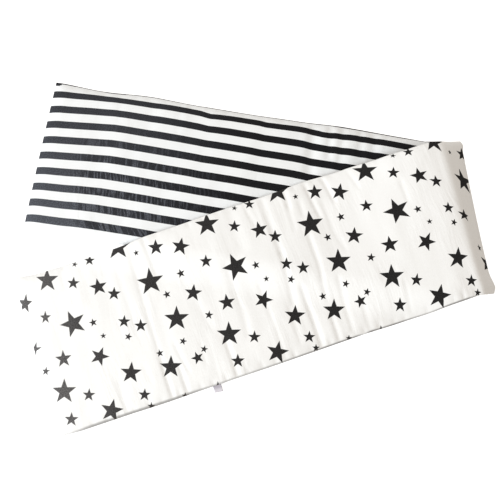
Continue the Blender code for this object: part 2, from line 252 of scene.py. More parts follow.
# Soft dips of the striped face
STRIPE_CREASES = (
    Crease(((190, 8), (192, 90)), 1.0, 14.0),
    Crease(((128, 4), (131, 60)), 0.7, 7.0),
    Crease(((244, 4), (247, 70)), 0.7, 7.0),
    Crease(((500, 6), (506, 110)), 2.6, 12.0),
    Crease(((532, 2), (536, 70)), 1.9, 7.0),
    Crease(((557, 2), (560, 100)), 2.2, 9.0),
    Crease(((590, 2), (594, 60)), 1.7, 7.0),
    Crease(((616, 4), (622, 90)), 1.7, 9.0),
)
STRIPE_PUCKERS = (
    (36, 14, 0.7), (64, 16, 0.8), (95, 15, 0.8), (118, 14, 0.6), (156, 18, 0.9),
    (180, 15, 0.7), (214, 18, 0.9), (262, 18, 0.9), (296, 16, 0.8), (331, 16, 0.8),
    (366, 16, 0.8), (402, 16, 0.8), (441, 18, 0.9), (476, 18, 0.9), (512, 16, 0.8),
    (571, 16, 0.9), (604, 16, 0.9), (640, 14, 0.8),
)
CREASE_FADE = 16.0                # its ends die out over this length, in millimetres
CREASE_RIM = 0.38                 # height of the low rims, out of the crease's depth
PUCKER_HALF = 3.6                 # half its width at the seam
PUCKER_SPREAD = 0.5               # a pucker widens inwards
PUCKER_FADE = 0.8
PUCKER_OFFSET = 0.012             # the lower leg's near seam has the same puckers, moved along
NEAR_DRAW = 1.35                  # the near seam is drawn in more
STAR_PRESS = 0.85                 # the star face has been pressed since
SEAM_HOLD = (0.006, 0.15)         # the seam keeps its line: from it to full depth, share at it

# Steps of the mesh: closer at the sewn edges
EDGE_PLACES = np.array(
    (0.0, 0.0005, 0.0011, 0.0019, 0.0029, 0.0042, 0.0058, 0.0078, 0.0102, 0.0130, 0.0162,
     0.0196, 0.0230, 0.0265)
)
INNER_STEPS = 64
UPPER_STEPS = 280
ROLL_STEPS = 34
LOWER_STEPS = 168
LEG_LENGTH = (0.4, 0.75, 1.1)     # at least, about and at most
HALVINGS = 40                     # to find it


def smooth(value):
    """An S curve from 0 to 1."""
    value = np.clip(value, 0.0, 1.0)
    return value * value * (3.0 - 2.0 * value)


def heading(angle):
    """One step in this direction on the floor."""
    return np.array([math.cos(angle), math.sin(angle)])


def left_of(step):
    """The same step turned a quarter to the left."""
    return np.array([-step[1], step[0]])


LOWER_RUN = heading(LOWER_ANGLE)
LOWER_SIDE = left_of(LOWER_RUN)
UPPER_RUN = heading(UPPER_ANGLE)
UPPER_SIDE = left_of(UPPER_RUN)
ROLL_OUT = heading(ROLL_TILT)
ROLL_RUN = left_of(ROLL_OUT)
ROLL_POINT = np.array([ROLL_CROSSING, 0.0])


def lower_bow(along):
    """How far the lower leg bows towards the near side."""
    return 0.5 * LOWER_BOW * (along - LOWER_BOW_MIDDLE) ** 2


def lower_plan(along, across):
    """Where a point of the lower leg lies on the floor."""
    side = (across + lower_bow(along))[..., None] * LOWER_SIDE
    return LOWER_CORNER + along[..., None] * LOWER_RUN - side


def upper_plan(along, across):
    """Where a point of the upper leg lies on the floor."""
    side = (STRIP_WIDTH - across)[..., None] * UPPER_SIDE
    return UPPER_CORNER + along[..., None] * UPPER_RUN + side


def roll_size(plan):
    """How far the roll stands out, and half its height."""
    place = (plan - ROLL_POINT) @ ROLL_RUN
    share = (place - ROLL_NEAR_END) / (ROLL_FAR_END - ROLL_NEAR_END)
    share = np.clip(share, 0.0, ROLL_BEYOND)
    reach = ROLL_REACH[0] + (ROLL_REACH[1] - ROLL_REACH[0]) * share
    rise = ROLL_RISE[0] + (ROLL_RISE[1] - ROLL_RISE[0]) * share
    return reach, rise


def roll_flare(plan):
    """How much farther out the roll stands at its two corners."""
    place = (plan - ROLL_POINT) @ ROLL_RUN
    near = ROLL_FLARE[0] * smooth(1.0 - (place - ROLL_NEAR_END) / ROLL_FLARE_LENGTH[0])
    far = ROLL_FLARE[1] * smooth(1.0 - (ROLL_FAR_END - place) / ROLL_FLARE_LENGTH[1])
    return near + far


def before_roll(plan):
    """How far a place lies before the line where the legs turn into the roll."""
    reach, _ = roll_size(plan)
    return -(plan - ROLL_POINT) @ ROLL_OUT - reach - PAD_THICKNESS / 2.0


def length_to_roll(leg_plan, across):
    """How far a leg runs at each place across before it turns."""
    low = np.full(across.shape, LEG_LENGTH[0])
    high = np.full(across.shape, LEG_LENGTH[2])
    for _ in range(HALVINGS):
        middle = (low + high) / 2.0
        flat = before_roll(leg_plan(middle, across)) > 0.0
        low = np.where(flat, middle, low)
        high = np.where(flat, high, middle)
    return low


def past_lower_edge(plan):
    """How far a place lies outside the lower leg's near edge."""
    offset = plan - LOWER_CORNER
    return -(offset @ LOWER_SIDE) - lower_bow(offset @ LOWER_RUN) - STRIP_WIDTH


def upper_height(plan):
    """The upper leg's seam level: from the crest down to the lower leg, then to the floor."""
    _, rise = roll_size(plan)
    crest = SEAM_HEIGHT + 2.0 * rise
    lying = PAD_THICKNESS + LAYER_GAP + SEAM_HEIGHT
    distance = before_roll(plan)
    height = crest + (lying - crest) * smooth(distance / ROLL_DROP)
    drop = smooth((past_lower_edge(plan) + EDGE_LEAD) / EDGE_DROP)
    drop = drop * smooth(distance / DROP_START)
    return height + (SEAM_HEIGHT - height) * drop


def pinned(sides, along, across):
    """Place across the strip once its long seams wander as the table says."""
    far = np.full(along.shape, sides[0, 1])
    near = np.full(along.shape, sides[0, 2])
    for last, row in zip(sides[:-1], sides[1:]):
        step = smooth((along - last[0]) / (row[0] - last[0]))
        far = far + (row[1] - last[1]) * step
        near = near + (row[2] - last[2]) * step
    share = across / STRIP_WIDTH
    return across + far * (1.0 - share) ** 3 + near * share**3


def loft(distance):
    """Share of the full thickness at this distance from a sewn edge."""
    rest = 1.0 - np.minimum(distance / EDGE_ROUND, 1.0)
    return (1.0 - rest * rest) ** EDGE_FULLNESS


def crease_depth(creases, along, across):
    """How far the creases press the face in: a trough with a low rim on each side."""
    along, across = along * 1000.0, across * 1000.0
    depth = np.zeros(along.shape)
    for crease in creases:
        alongs, acrosses = zip(*crease.path)
        centre = np.interp(across, acrosses, alongs)
        off = (along - centre) / crease.half
        shape = (1.0 - CREASE_RIM * off**2) * np.exp(-(off**2))
        fade = smooth((across - acrosses[0]) / CREASE_FADE + 0.5)
        fade = fade * smooth((acrosses[-1] - across) / CREASE_FADE + 0.5)
        depth += crease.depth * shape * fade
    return depth / 1000.0


def pucker_depth(puckers, along, from_seam):
    """Short troughs that start at a seam and die out inwards."""
    along, from_seam = along * 1000.0, from_seam * 1000.0
    depth = np.zeros(along.shape)
    for place, length, deep in puckers:
        off = (along - place) / (PUCKER_HALF * (1.0 + PUCKER_SPREAD * from_seam / length))
        depth += deep * np.exp(-(off**2)) * smooth(1.0 - from_seam / length) ** PUCKER_FADE
    return depth / 1000.0


def slow_swell(along, across, start):
    """The wadding's own unevenness: a few long, low waves."""
    waves = (
        # length along, length across, turn, height in millimetres
        (0.19, 0.31, 0.0, 0.30), (0.11, -0.27, 1.7, 0.24), (0.083, 0.9, 2.9, 0.20),
        (0.061, -0.52, 0.8, 0.15), (0.047, 0.21, 4.1, 0.12), (0.034, -1.4, 5.3, 0.07),
    )
    height = np.zeros(along.shape)
    for length, spread, turn, size in waves:
        height += size * np.sin(2.0 * math.pi * (along / length + across / spread) + turn + start)
    return height / 1000.0


def leg_shares(steps):
    """Shares of a leg from its free end, closer at the sewn end."""
    sewn_end = EDGE_PLACES / LEG_LENGTH[1]
    rest = np.linspace(EDGE_ROUND / LEG_LENGTH[1], 1.0, steps - len(EDGE_PLACES) + 1)
    return np.concatenate([sewn_end, rest])


inner = np.linspace(EDGE_ROUND, STRIP_WIDTH - EDGE_ROUND, INNER_STEPS + 1)
rows = np.concatenate([EDGE_PLACES, inner, STRIP_WIDTH - EDGE_PLACES[::-1]])
from_side = np.minimum(rows, STRIP_WIDTH - rows)
off_seam = smooth(from_side / SEAM_HOLD[0] + SEAM_HOLD[1])
lower_length = length_to_roll(lower_plan, rows)
upper_length = length_to_roll(upper_plan, rows)
crown = PAD_THICKNESS - SEAM_HEIGHT    # how high the full cloth stands over its seam

# Lower leg, from its free end to the roll
lower_along = leg_shares(LOWER_STEPS)[:, None] * lower_length
lower_across = np.broadcast_to(rows, lower_along.shape)
lower_print = pinned(LOWER_SIDES, lower_along, lower_across)
lead = LOWER_LEAD * (1.0 - (rows / STRIP_WIDTH) ** 2) * smooth(1.0 - lower_along / LOWER_LEAD_FADE)
plan = lower_plan(lower_along - lead, lower_print)
lower_place = np.dstack([plan, np.full(lower_along.shape, SEAM_HEIGHT)])
lower_facing = np.broadcast_to((0.0, 0.0, -1.0), lower_place.shape)
full = loft(from_side) * loft(lower_along)
dips = crease_depth(STRIPE_CREASES, lower_along, lower_across)
dips += pucker_depth(STRIPE_PUCKERS, lower_along, lower_across)
dips += pucker_depth(STRIPE_PUCKERS, lower_along + PUCKER_OFFSET, STRIP_WIDTH - lower_across)
lower_out = SEAM_HEIGHT * full
lower_back = (crown + slow_swell(lower_along, lower_across, 0.0)) * full - dips * off_seam

# Upper leg, from the roll to its free end
upper_along = leg_shares(UPPER_STEPS)[::-1, None] * upper_length
upper_across = np.broadcast_to(rows, upper_along.shape)
plan = upper_plan(upper_along, pinned(UPPER_SIDES, upper_along, upper_across))
upper_place = np.dstack([plan, upper_height(plan)])
upper_facing = np.broadcast_to((0.0, 0.0, 1.0), upper_place.shape)
full = loft(from_side) * loft(upper_along)
dips = STAR_PRESS * crease_depth(STAR_CREASES, upper_along, upper_across)
dips += NEAR_DRAW * pucker_depth(NEAR_PUCKERS, upper_along, STRIP_WIDTH - upper_across)
dips += pucker_depth(FAR_PUCKERS, upper_along, upper_across)
upper_out = (crown + slow_swell(upper_along, upper_across, 2.0)) * full - dips * off_seam
upper_back = SEAM_HEIGHT * full

# Roll between the two: flat, a tight bend, a side that leans back, and a crest
section = np.linspace(0.0, 1.0, ROLL_PARTS + 1)
middles = (section[1:] + section[:-1]) / 2.0
turned = ROLL_LEAN * smooth((middles - ROLL_BEND[0]) / ROLL_BEND[1])
turned += (math.pi - ROLL_LEAN) * smooth((middles - 1.0) / ROLL_CREST_LENGTH + 1.0)
section_out = np.concatenate([[0.0], np.cumsum(np.cos(turned))])
section_out = section_out - section_out[-1] * section
section_out = section_out / section_out.max()
section_up = np.concatenate([[0.0], np.cumsum(np.sin(turned))])
section_up = section_up / section_up[-1]
share = np.linspace(0.0, 1.0, ROLL_STEPS + 1)[1:-1, None]
out = np.interp(share, section, section_out)
up = np.interp(share, section, section_up)
out_slope = np.interp(share, section, np.gradient(section_out))
up_slope = np.interp(share, section, np.gradient(section_up))
start = lower_plan(lower_length, pinned(LOWER_SIDES, lower_length, rows))
finish = upper_plan(upper_length, pinned(UPPER_SIDES, upper_length, rows))
plan = start + (finish - start) * smooth(share)[..., None]
draw_in = ROLL_DRAW_IN * out * (1.0 - rows / STRIP_WIDTH) ** 3
plan = plan - draw_in[..., None] * ROLL_RUN
reach, rise = roll_size(plan)
tuck = ROLL_TUCK * smooth(1.0 - (STRIP_WIDTH - rows) / ROLL_TUCK_WIDTH)
reach = reach + roll_flare(plan) - tuck
roll_place = np.dstack([
    plan + (out * reach)[..., None] * ROLL_OUT, SEAM_HEIGHT + 2.0 * rise * up
])
sideways = (2.0 * rise * up_slope)[..., None] * ROLL_OUT
roll_facing = np.dstack([sideways, -out_slope * reach])
roll_facing = roll_facing / np.linalg.norm(roll_facing, axis=2, keepdims=True)
star_side = SEAM_HEIGHT + (crown - SEAM_HEIGHT) * up
squeeze = 1.0 - ROLL_SQUEEZE * np.sin(math.pi * share) ** 2
roll_out = star_side * loft(from_side)
roll_back = (PAD_THICKNESS - star_side) * loft(from_side) * squeeze

place = np.concatenate([lower_place, roll_place, upper_place])
facing = np.concatenate([lower_facing, roll_facing, upper_facing])
out_by = np.concatenate([lower_out, roll_out, upper_out])
back_by = np.concatenate([lower_back, roll_back, upper_back])
columns, across_count = out_by.shape
star_points = place + out_by[..., None] * facing
striped_points = place - back_by[..., None] * facing
sewn = np.zeros((columns, across_count), bool)
sewn[[0, -1], :] = True
sewn[:, [0, -1]] = True
star_points[sewn] = place[sewn]
striped_points[sewn] = place[sewn]

# Cloth coordinates in metres: along from the upper leg's free end all the way round, and across.
# The print is pulled askew with the cloth. In millimetres, a pull lies along, a slide across.
PULL_LEFT = (8.74, 0.46, 90.0)    # at the free end's far and near corner, and how far it reaches
PULL_ROLL = (-18.0, 775.0, 80.0)  # back over the roll: where it starts, how soon it is full
SLIDE_LEFT = (4.8, 380.0)         # at the free end's near corner, and how far it reaches
SLIDE_ROLL = (1.9, 770.0, 60.0)   # over the roll: where it starts, how soon it is full
SLIDE_FAR = (-2.4, 620.0, 75.0)   # back by the far seam: where, and half how long
END_PULL = (5.2, 8.5)             # along and across, where the turned end takes the cloth up
END_REACH = (40.0, 150.0, 30.0)   # how far along, how far across, and its fading there
PULL_RIGHT_FROM = (590.0, 110.0)  # where it starts and how soon it is full
PULL_RIGHT = np.array((
    # across, along
    (0.0, -2.3), (60.0, -2.1), (83.0, 1.8), (110.0, 0.6), (136.0, 2.9), (165.0, 3.5),
    (182.0, 1.0), (228.0, 0.0), (241.0, -2.9), (275.0, -3.7), (300.0, -4.7),
))
step_lengths = np.linalg.norm(np.diff(place, axis=0), axis=2)
arc = np.zeros((columns, across_count))
arc[:-1] = np.cumsum(step_lengths[::-1], axis=0)[::-1]
first_upper = columns - len(upper_along)
star_along = arc + upper_along[0] - arc[first_upper]
star_along[first_upper:] = upper_along
along_mm, across_mm = star_along * 1000.0, rows * 1000.0
side_share = rows / STRIP_WIDTH
end_here = smooth(1.0 - along_mm / END_REACH[0])
end_here = end_here * smooth((END_REACH[1] - across_mm) / END_REACH[2])
pulled = PULL_LEFT[0] + (PULL_LEFT[1] - PULL_LEFT[0]) * side_share
pulled = pulled * smooth(1.0 - along_mm / PULL_LEFT[2])
right = smooth((along_mm - PULL_RIGHT_FROM[0]) / PULL_RIGHT_FROM[1])
pulled = pulled + np.interp(across_mm, PULL_RIGHT[:, 0], PULL_RIGHT[:, 1]) * right
pulled = pulled + PULL_ROLL[0] * smooth((along_mm - PULL_ROLL[1]) / PULL_ROLL[2])
pulled = pulled + END_PULL[0] * end_here
slid = SLIDE_LEFT[0] * side_share * smooth(1.0 - along_mm / SLIDE_LEFT[1])
slid = slid + SLIDE_ROLL[0] * smooth((along_mm - SLIDE_ROLL[1]) / SLIDE_ROLL[2])
bulge = np.exp(-(((along_mm - SLIDE_FAR[1]) / SLIDE_FAR[2]) ** 2))
slid = slid + SLIDE_FAR[0] * bulge * (1.0 - side_share) ** 2
slid = slid + END_PULL[1] * end_here
star_along = star_along - pulled / 1000.0
star_across = rows - slid / 1000.0

# Stripes: where the first lies, their pitch, and how the far seam's curve gathers them,
# in millimetres at places along the lower leg
STRIPE_PITCH = 31.5
STRIPE_ROWS = np.array((
    # along, first, pitch, gathered
    (0.0, 19.6, 31.5, 1.5), (11.0, 18.9, 31.5, 2.0), (68.0, 12.0, 32.4, 6.5),
    (126.0, 6.0, 33.0, 10.5), (185.0, 6.6, 33.0, 10.0), (243.0, 8.1, 33.0, 8.5),
    (284.0, 8.2, 33.0, 10.0), (302.0, 8.3, 33.0, 12.6), (316.0, 8.4, 33.0, 11.9),
    (359.0, 9.0, 32.9, 10.7), (397.0, 9.6, 33.0, 10.0), (411.0, 9.8, 33.0, 11.4),
    (424.0, 10.0, 33.0, 10.6), (475.0, 10.8, 33.0, 8.5), (506.0, 11.5, 33.0, 8.9),
    (520.0, 11.9, 33.0, 10.6), (533.0, 12.2, 33.0, 9.2), (590.0, 12.4, 33.0, 7.0),
    (680.0, 13.0, 32.0, 5.0),
))
GATHER_FADE = 0.75                # each stripe farther from the far seam follows it less
SETTLING = 40                     # rounds in which the stripes find their places
# How far the first, third, fifth and ninth stripe stray towards the near seam
STRAY_STRIPES = (0.0, 2.0, 4.0, 8.0)
STRIPE_STRAY = np.array((
    # along, then millimetres for each of the four
    (0.0, 0.4, 1.8, 1.7, 1.7), (40.0, 0.9, 1.8, 1.8, 1.6), (60.0, 0.6, 1.6, 1.3, 1.3),
    (90.0, -0.1, 0.7, 0.4, 0.4), (130.0, -0.1, 0.4, 0.0, 0.4), (220.0, 0.0, 0.4, -0.4, 0.0),
    (250.0, 0.2, 0.4, -0.6, -0.2), (280.0, 0.2, 0.9, 0.0, 0.0), (305.0, 1.3, 1.3, 0.8, 0.2),
    (340.0, -0.6, 1.4, 0.4, 0.4), (400.0, 0.5, 1.9, 0.3, 0.0), (440.0, 0.7, 1.4, -0.3, 0.0),
    (470.0, -0.1, 1.1, -0.5, 0.0), (525.0, 0.3, 1.4, 1.2, 0.0), (580.0, -0.8, 0.7, 0.6, 0.0),
    (640.0, -0.5, 0.4, 0.4, 0.0), (690.0, 1.2, 0.4, 0.4, 0.0),
))
LEAST_COUNT = -0.74               # the stripe before the first stays off the face
# That stripe peeps round the sewn far edge as a thin dark line: places along the leg and how wide
# the line is, in millimetres.
FAR_LINE = np.array((
    (0.0, 6.0), (8.0, 6.0), (13.0, 1.7), (60.0, 1.3), (92.0, 1.3), (100.0, 2.0), (130.0, 2.0),
    (140.0, 1.1), (330.0, 1.0), (520.0, 1.1), (550.0, 1.8), (670.0, 1.8), (700.0, 1.4),
))
LINE_EDGE = 0.5                   # how soft its inner side is


def carried_on(leg):
    """Lengths on the lower leg in millimetres, the last ones carried on over all the rest."""
    rest = np.broadcast_to(leg[-1], (columns - len(leg), across_count))
    return np.concatenate([leg, rest]) * 1000.0


lower_mm, stripe_mm = carried_on(lower_along), carried_on(lower_print)
first_stripe = np.interp(lower_mm, STRIPE_ROWS[:, 0], STRIPE_ROWS[:, 1])
pitch = np.interp(lower_mm, STRIPE_ROWS[:, 0], STRIPE_ROWS[:, 2])
gathered = np.interp(lower_mm, STRIPE_ROWS[:, 0], STRIPE_ROWS[:, 3])
count = (stripe_mm - first_stripe) / pitch
for _ in range(SETTLING):
    curve = gathered * np.exp(-GATHER_FADE * np.maximum(count, -1.0))
    count = 0.5 * count + 0.5 * (stripe_mm - first_stripe - curve) / pitch
stray = [np.interp(lower_mm, STRIPE_STRAY[:, 0], column) for column in STRIPE_STRAY.T[1:]]
strayed = stray[0]
for k in range(len(STRAY_STRIPES) - 1):
    low, high = STRAY_STRIPES[k:k + 2]
    strayed = strayed + (stray[k + 1] - stray[k]) * np.clip((count - low) / (high - low), 0.0, 1.0)
count = np.maximum(count - strayed / pitch, LEAST_COUNT)
stripe_across = count * STRIPE_PITCH / 1000.0
line = np.interp(lower_mm, FAR_LINE[:, 0], FAR_LINE[:, 1])
peep = np.clip(1.0 - (across_mm - line) / LINE_EDGE, 0.0, 1.0)
peep[first_upper:] = 0.0
stripe_across = stripe_across - (stripe_across + STRIPE_PITCH / 1000.0) * peep

# Painted shade darkens the near seam of the star leg, where its edge rounds down and shades the
# table. In millimetres along the leg: how wide the painted shade is and how strong, out of 1.
SEAM_SHADE = np.array((
    (0.0, 3.0, 0.0), (20.0, 3.5, 0.18), (40.0, 5.2, 0.50), (60.0, 6.4, 0.62), (235.0, 6.0, 0.62),
    (255.0, 5.0, 0.52), (275.0, 4.0, 0.42), (330.0, 4.0, 0.42), (420.0, 4.0, 0.55),
    (470.0, 3.8, 0.68), (520.0, 3.8, 0.72), (556.0, 3.6, 0.65), (570.0, 3.0, 0.15),
    (582.0, 3.8, 0.82), (600.0, 3.6, 0.62), (628.0, 3.6, 0.80), (660.0, 3.2, 0.55),
    (695.0, 3.0, 0.40), (730.0, 3.4, 0.75), (762.0, 3.6, 0.75), (782.0, 3.0, 0.30),
    (792.0, 3.0, 0.0),
))
SHADE_CORE = 0.3                   # this share of its width is evenly shaded
shade_width = np.interp(along_mm, SEAM_SHADE[:, 0], SEAM_SHADE[:, 1])
shade_strength = np.interp(along_mm, SEAM_SHADE[:, 0], SEAM_SHADE[:, 2])
shade_strength[:first_upper] = 0.0
from_near = (STRIP_WIDTH - rows) * 1000.0
seam_shade = 1.0 - smooth((from_near / shade_width - SHADE_CORE) / (1.0 - SHADE_CORE))
seam_shade = seam_shade * shade_strength

# Star print: one repeat, in millimetres. Along, across, width over the tips, tilt.
PRINT_REPEAT = 310.0
STARS = (
    (56, 18.5, 45, 5), (102, 39, 23, -3), (143, 60, 32, 14), (166, 81, 25, 0), (235, 82, 49, 8),
    (256, 115, 15, 24), (264, 28, 29, 4), (307, 42, 33, -9), (32, 83, 23, 2), (80, 110, 48, 25),
    (115, 120, 15, 18), (125, 149, 11, 5), (168, 136, 23, -2), (194, 153, 24, 3),
    (167, 165, 14, -15), (292, 87, 16, 20), (302, 128, 32, -5), (44, 165, 31, 8),
    (108, 182, 34, -19), (211, 212, 14, 14), (259, 163, 45, 2), (6, 176, 16, -6),
    (152, 228, 38, -3), (29, 221, 44, 3), (70, 241, 23, -2), (163, 273, 22, -2),
    (257, 206, 14, -16), (288, 232, 14, -12), (272, 243, 23, 23), (222, 242, 40, 0),
    (100, 280, 40, -10), (28, 272, 25, 1), (168, 295, 14, 0), (288, 312, 36, 5),
    (230, 298, 12, 0), (199, 0.5, 47, 3), (227, 24, 11, 10), (142, 7, 20, 1), (114, 5, 11, -10),
)
PRINT_TILT = -math.degrees(UPPER_ANGLE)
TIPS_TO_RADIUS = 1.0 / 1.902
NO_STAR = 9.0                     # a place this many radii from any star


def quads(index):
    """The four corners of each face of a grid, in turn."""
    corners = [index[:-1, :-1], index[:-1, 1:], index[1:, 1:], index[1:, :-1]]
    return np.stack(corners, axis=-1).reshape(-1, 4)


def put_map(name, on_stars, on_stripes):
    """A map of the mesh from its values at the corners of the star faces and the striped ones."""
    values = np.concatenate([on_stars, on_stripes]).astype(np.float32)
    strip_mesh.uv_layers.new(name=name).uv.foreach_set("vector", values.ravel())


index = np.arange(columns * across_count).reshape(columns, across_count)
striped_corners = quads(index)
star_corners = striped_corners[:, ::-1]
striped_faces = quads(np.where(sewn, index, index + columns * across_count))
points = np.concatenate([star_points.reshape(-1, 3), striped_points.reshape(-1, 3)])
faces = np.concatenate([star_corners, striped_faces])
used = np.unique(faces)
renumber = np.full(len(points), -1)
renumber[used] = np.arange(len(used))
strip_mesh = bpy.data.meshes.new("bumper strip")
strip_mesh.from_pydata(points[used].tolist(), [], renumber[faces].tolist())
strip_mesh.update()
strip_mesh.shade_smooth()

star_cloth = np.stack([star_along, star_across], axis=-1).reshape(-1, 2)[star_corners]
stripe_cloth = np.stack([star_along, stripe_across], axis=-1).reshape(-1, 2)[striped_corners]
put_map("cloth", star_cloth, stripe_cloth)
# The seam map carries the painted shade along the near seam.
shade_place = np.stack([seam_shade, seam_shade], axis=-1).reshape(-1, 2)
put_map("seam", shade_place[star_corners], shade_place[striped_corners])

# Each face keeps its place beside the nearest star, in that star's radii: towards a tip, aside
face_middle = star_cloth.mean(axis=1) * 1000.0
nearest = np.full(len(face_middle), NO_STAR)
star_place = np.full(star_cloth.shape, NO_STAR)
for along, across, tips, tilt in STARS:
    radius = tips * TIPS_TO_RADIUS
    star_turn = math.radians(tilt + PRINT_TILT)
    repeat = np.round((face_middle[:, 0] - along) / PRINT_REPEAT)
    off = face_middle - np.array((along, across))
    off[:, 0] -= repeat * PRINT_REPEAT
    away = np.hypot(off[:, 0], off[:, 1]) / radius
    closer = away < nearest
    nearest[closer] = away[closer]
    corner = star_cloth[closer] * 1000.0 - np.array((along, across))
    corner[..., 0] -= repeat[closer, None] * PRINT_REPEAT
    ahead = -corner[..., 1]
    tip = ahead * math.cos(star_turn) - corner[..., 0] * math.sin(star_turn)
    side = corner[..., 0] * math.cos(star_turn) + ahead * math.sin(star_turn)
    star_place[closer] = np.stack([tip, side], axis=-1) / radius
put_map("star", star_place, np.full(stripe_cloth.shape, NO_STAR))
strip_mesh.uv_layers.active = strip_mesh.uv_layers["cloth"]

# Cotton: a plain weave of fine threads with faint slubs, and soft wrinkles that gather in patches.
# Its noises are counted to the metre of cloth, along and across, and its heights are in metres.
THREAD_PITCH = 0.00042
THREAD_HEIGHT = 0.00002
THREAD_TONE = 0.02
SLUBS = (900.0, 160.0, 1.0)
SLUB_HEIGHT = 0.00006
SLUB_TONE = (0.05, 0.965)         # how much a slub lightens, and the tone without it
WRINKLES = (62.0, 9.0, 1.0)
WRINKLE_HEIGHT = (0.0009, 0.0002)  # in the crumpled patches, and everywhere
PATCHES = 11.0
PATCH_EDGE = (0.42, 0.66)         # of their noise: where a patch starts and where it is full
SPECKS = 620.0                    # threads that show lighter and darker through the ink
SPECK_EDGE = (0.32, 0.72)
SPECK_TONE = (0.45, 1.75)         # the ink's colour times this, at the least and at the most
# colour of the painted shade along the near seam
SEAM_SHADE_COLOUR = (0.060, 0.052, 0.046, 1.0)


def node(tree, kind, **settings):
    """A node with these settings."""
    made = tree.nodes.new(kind)
    for name, value in settings.items():
        setattr(made, name, value)
    return made


def feed(tree, socket, value):
    """Gives a socket another node's output, or a number or colour of its own."""
    if isinstance(value, bpy.types.NodeSocket):
        tree.links.new(value, socket)
    else:
        socket.default_value = value


def math_node(tree, operation, *values):
    """A Math node; each value is a number or another node's output."""
    made = node(tree, "ShaderNodeMath", operation=operation)
    for socket, value in zip(made.inputs, values):
        feed(tree, socket, value)
    return made.outputs[0]


def eased(tree, value, start, end):
    """An S curve from 0 at the start to 1 at the end."""
    made = node(tree, "ShaderNodeMapRange", interpolation_type="SMOOTHSTEP")
    made.inputs["From Min"].default_value = start
    made.inputs["From Max"].default_value = end
    tree.links.new(value, made.inputs["Value"])
    return made.outputs["Result"]


def noise(tree, place, scale, detail=2.0):
    """A noise; a scale of three numbers stretches it."""
    made = node(tree, "ShaderNodeTexNoise")
    made.inputs["Detail"].default_value = detail
    if isinstance(scale, tuple):
        stretch = node(tree, "ShaderNodeVectorMath", operation="MULTIPLY")
        stretch.inputs[1].default_value = scale
        tree.links.new(place, stretch.inputs[0])
        place, scale = stretch.outputs[0], 1.0
    made.inputs["Scale"].default_value = scale
    tree.links.new(place, made.inputs["Vector"])
    return made


def mixed(tree, share, first, second, blend_type="MIX"):
    """One colour mixed into another."""
    made = node(tree, "ShaderNodeMix", data_type="RGBA", blend_type=blend_type)
    for name, value in (("Factor", share), ("A", first), ("B", second)):
        feed(tree, made.inputs[name], value)
    return made.outputs["Result"]


def split(tree, map_name):
    """A map of the mesh, whole and in its two parts."""
    whole = node(tree, "ShaderNodeUVMap", uv_map=map_name).outputs["UV"]
    parts = node(tree, "ShaderNodeSeparateXYZ")
    tree.links.new(whole, parts.inputs[0])
    return whole, parts.outputs["X"], parts.outputs["Y"]


cotton = bpy.data.node_groups.new("plain cotton", "ShaderNodeTree")
cotton.interface.new_socket("Cloth", in_out="INPUT", socket_type="NodeSocketVector")
cotton.interface.new_socket("Crumple", in_out="INPUT", socket_type="NodeSocketFloat")
for name in ("Tone", "Height", "Speck"):
    cotton.interface.new_socket(name, in_out="OUTPUT", socket_type="NodeSocketFloat")
given = node(cotton, "NodeGroupInput")
result = node(cotton, "NodeGroupOutput")
on_cloth = given.outputs["Cloth"]
threads = node(cotton, "ShaderNodeSeparateXYZ")
cotton.links.new(on_cloth, threads.inputs[0])
thread_turn = math.pi / THREAD_PITCH
warp = math_node(cotton, "SINE", math_node(cotton, "MULTIPLY", threads.outputs["X"], thread_turn))
weft = math_node(cotton, "SINE", math_node(cotton, "MULTIPLY", threads.outputs["Y"], thread_turn))
over_under = math_node(cotton, "MULTIPLY", warp, weft)
slub = noise(cotton, on_cloth, SLUBS, 3.0).outputs["Fac"]
wrinkle = noise(cotton, on_cloth, WRINKLES, 4.0)
wrinkle.inputs["Roughness"].default_value = 0.55
wrinkle.inputs["Distortion"].default_value = 0.4
crumpled = eased(cotton, noise(cotton, on_cloth, PATCHES, 1.0).outputs["Fac"], *PATCH_EDGE)
wrinkle_height = math_node(cotton, "MULTIPLY_ADD", crumpled, *WRINKLE_HEIGHT)
wrinkle_height = math_node(cotton, "MULTIPLY", wrinkle_height, given.outputs["Crumple"])
weave_height = math_node(cotton, "MULTIPLY", slub, SLUB_HEIGHT)
weave_height = math_node(cotton, "MULTIPLY_ADD", over_under, THREAD_HEIGHT, weave_height)
weave_height = math_node(
    cotton, "MULTIPLY_ADD", wrinkle.outputs["Fac"], wrinkle_height, weave_height
)
cotton.links.new(weave_height, result.inputs["Height"])
tone = math_node(cotton, "MULTIPLY_ADD", slub, *SLUB_TONE)
tone = math_node(cotton, "MULTIPLY_ADD", over_under, THREAD_TONE, tone)
cotton.links.new(tone, result.inputs["Tone"])
speck = node(cotton, "ShaderNodeMapRange")
speck.inputs["From Min"].default_value, speck.inputs["From Max"].default_value = SPECK_EDGE
speck.inputs["To Min"].default_value, speck.inputs["To Max"].default_value = SPECK_TONE
cotton.links.new(noise(cotton, on_cloth, SPECKS).outputs["Fac"], speck.inputs["Value"])
cotton.links.new(speck.outputs["Result"], result.inputs["Speck"])


def bumped(tree, shader, height):
    """Raises the surface by this height in metres."""
    bump = node(tree, "ShaderNodeBump")
    bump.inputs["Strength"].default_value = 1.0
    bump.inputs["Distance"].default_value = 1.0
    tree.links.new(height, bump.inputs["Height"])
    tree.links.new(bump.outputs["Normal"], shader.inputs["Normal"])


